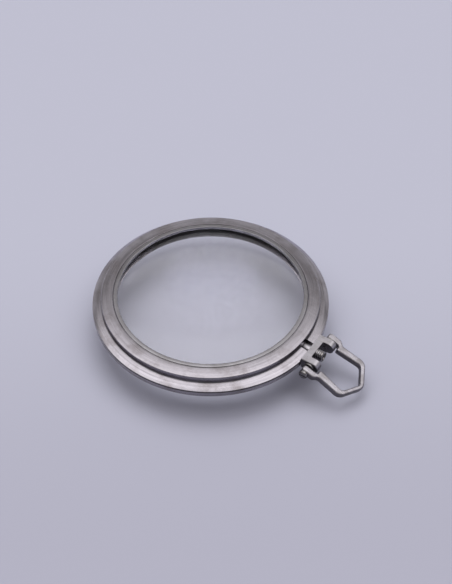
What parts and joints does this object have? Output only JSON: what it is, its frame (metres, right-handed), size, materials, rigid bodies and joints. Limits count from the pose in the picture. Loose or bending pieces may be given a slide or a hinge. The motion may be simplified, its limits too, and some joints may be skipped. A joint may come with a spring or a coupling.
{
  "type": "empty pocket watch case",
  "caption": "Empty open-face pocket watch case in satin steel with a domed crystal front and back, a forked pendant with a crown tube, and a swinging bow.",
  "frame": {"origin": "on the case axis, half way through the thickness of the band", "axes": "+Z along the case axis out of the front crystal, +X out along the pendant and the crown tube, +Y to the side of the pendant"},
  "size_m": [0.0622, 0.05, 0.0111],
  "materials": {
    "case_steel": "satin, lightly worn",
    "bezel_steel": "satin, lightly worn",
    "rim_ring_steel": "polished edge",
    "pendant_steel": "satin, lightly worn",
    "bow_steel": "satin, lightly worn",
    "tube_steel": "turned",
    "screw_steel": "polished head",
    "washer_steel": "plain",
    "crystal_glass": "clear, polished",
    "gasket_black": "black nylon",
    "seal_rubber": "black rubber",
    "casing_ring_black": "black, moulded"
  },
  "bodies": {
    "case": {"case_band": "case_steel", "casing_ring": "casing_ring_black", "pendant": "pendant_steel", "crown_tube": "tube_steel", "crown_tube_ring": "seal_rubber", "bow_screw_right": "screw_steel", "bow_screw_left": "screw_steel", "bow_washer_right": "washer_steel", "bow_washer_left": "washer_steel"},
    "bow": {"bow": "bow_steel"},
    "front_cover": {"front_bezel": "bezel_steel", "front_crystal": "crystal_glass", "front_crystal_gasket": "gasket_black", "front_rim_ring": "rim_ring_steel", "front_cover_seal": "seal_rubber"},
    "back_cover": {"back_bezel": "bezel_steel", "back_crystal": "crystal_glass", "back_crystal_gasket": "gasket_black", "back_rim_ring": "rim_ring_steel", "back_cover_seal": "seal_rubber"}
  },
  "joints": [
    {"name": "bow_swing", "type": "hinge", "parent": "case", "child": "bow", "pos_m": [0.02665, 0, 0], "axis": [0, -1, 0], "range_deg": [-99, 140]},
    {"name": "front_cover_lift", "type": "slide", "parent": "case", "child": "front_cover", "axis": [0, 0, 1], "range_m": [0, 0.03]},
    {"name": "back_cover_lift", "type": "slide", "parent": "case", "child": "back_cover", "axis": [0, 0, -1], "range_m": [0, 0.03]}
  ]
}
